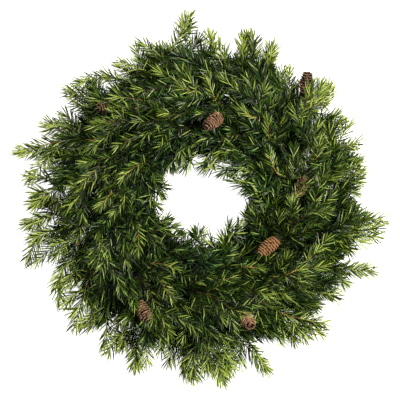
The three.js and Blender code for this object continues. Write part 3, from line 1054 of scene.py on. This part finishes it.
def wire_material():
    """Green-painted florist's wire with dull and rubbed patches."""
    material, nodes, links, shader = new_material("green_wire", 0.4)
    where = nodes.new("ShaderNodeTexCoord")
    noise = nodes.new("ShaderNodeTexNoise")
    noise.inputs["Scale"].default_value = 180
    noise.inputs["Detail"].default_value = 4
    links.new(where.outputs["Object"], noise.inputs["Vector"])
    patches = noise.outputs["Fac"]
    paint = ramp(nodes, links, patches, [(0.35, "#1d2b18"), (0.55, "#2c3d26"), (0.72, "#55604a")])
    links.new(paint, shader.inputs["Base Color"])
    gloss = ramp(nodes, links, patches, [(0.35, "#606060"), (0.7, "#9a9a9a")])
    links.new(gloss, shader.inputs["Roughness"])
    shader.inputs["Metallic"].default_value = 0.4
    return material


# ---------------------------------------- the wreath

NEEDLES = needle_material()
BARK = bark_material()
CONE_SCALES = cone_material()
WIRE = wire_material()

# A bough's node is named after its row and its place in the row.
ROWS = [
    ("back_bough", [row for row in OUTER_BOUGHS if row[1] == "low"], "outer_needles"),
    ("outer_bough", [row for row in OUTER_BOUGHS if row[1] == "out"], "outer_needles"),
    ("middle_bough", MIDDLE_BOUGHS, "face_needles"),
    ("inner_bough", INNER_BOUGHS, "inner_needles"),
]
boughs = {}
for row_name, rows, slot in ROWS:
    for number, row in enumerate(rows, 1):
        boughs[f"{row_name}_{number:02d}"] = (Bough(row, len(boughs) + 1), slot)
layout_random = np.random.default_rng(7)
add_face_sprigs([bough for bough, slot in boughs.values() if slot != "outer_needles"], layout_random)
add_edge_sprigs([bough for bough, slot in boughs.values() if slot == "outer_needles"], layout_random)
add_hole_sprigs([bough for bough, slot in boughs.values() if slot == "inner_needles"], layout_random)
add_fillers([bough for bough, slot in boughs.values()], layout_random)
for node, (bough, slot) in boughs.items():
    piece = make_bough("fir_" + node, bough, [NEEDLES, BARK])
    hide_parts(node)

for number, row in enumerate(CONES, 1):
    piece = make_cone(f"pine_cone_{number:02d}", row, 100 + number, CONE_SCALES)
    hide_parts(f"cone_{number:02d}")

for node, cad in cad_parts.items():
    if "wire" in node:
        cad.data.materials.clear()
        cad.data.materials.append(WIRE)

# ---------------------------------------- floor, light and camera


def floor_material():
    """Plain white to the camera, and a mid grey to the light that falls on it."""
    material, nodes, links, shader = new_material("white_floor", 0.9)
    shader.inputs["Base Color"].default_value = (0.4, 0.4, 0.4, 1)
    shader.inputs["Emission Color"].default_value = (1, 1, 1, 1)
    seen = nodes.new("ShaderNodeLightPath")
    links.new(seen.outputs["Is Camera Ray"], shader.inputs["Emission Strength"])
    return material


def make_floor():
    mesh = bpy.data.meshes.new("floor")
    s = FLOOR_HALF
    mesh.from_pydata([(-s, -s, 0), (s, -s, 0), (s, s, 0), (-s, s, 0)], [], [(0, 1, 2, 3)])
    floor = bpy.data.objects.new("floor", mesh)
    mesh.materials.append(floor_material())
    bpy.context.scene.collection.objects.link(floor)
    floor.location.z = -FLOOR_GAP


def area_light(name, place, size, watts):
    light = bpy.data.lights.new(name, "AREA")
    light.shape = "DISK"
    light.size = size
    light.energy = watts
    light.color = LIGHT_COLOUR
    lamp = bpy.data.objects.new(name, light)
    lamp.location = place
    lamp.rotation_euler = (-Vector(place)).to_track_quat("-Z", "Y").to_euler()
    bpy.context.scene.collection.objects.link(lamp)


def make_world(strength):
    """White to the camera, like the floor, and a dim light from all round."""
    world = bpy.data.worlds.new("studio")
    bpy.context.scene.world = world
    world.use_nodes = True
    nodes, links = world.node_tree.nodes, world.node_tree.links
    background = nodes["Background"]
    background.inputs["Color"].default_value = (1, 1, 1, 1)
    seen = nodes.new("ShaderNodeLightPath")
    brighter = nodes.new("ShaderNodeMath")
    brighter.operation = "MAXIMUM"
    brighter.inputs[1].default_value = strength
    links.new(seen.outputs["Is Camera Ray"], brighter.inputs[0])
    links.new(brighter.outputs["Value"], background.inputs["Strength"])


def make_camera():
    """Straight down on the wreath's face, from far enough to see it nearly flat."""
    camera = bpy.data.cameras.new("camera")
    camera.sensor_width = SENSOR_WIDTH
    camera.lens = SENSOR_WIDTH * (CAMERA_HEIGHT - PICTURE_HEIGHT) / PICTURE_WIDTH
    camera.clip_end = 50
    holder = bpy.data.objects.new("camera", camera)
    x, y = RING_CENTRE[:2] * MM + PICTURE_MIDDLE
    holder.location = (x, y, CAMERA_HEIGHT)
    bpy.context.scene.collection.objects.link(holder)
    bpy.context.scene.camera = holder


make_floor()
area_light(*KEY_LIGHT)
area_light(*FILL_LIGHT)
make_world(WORLD_LIGHT)
make_camera()
bpy.context.scene.view_settings.view_transform = "Standard"
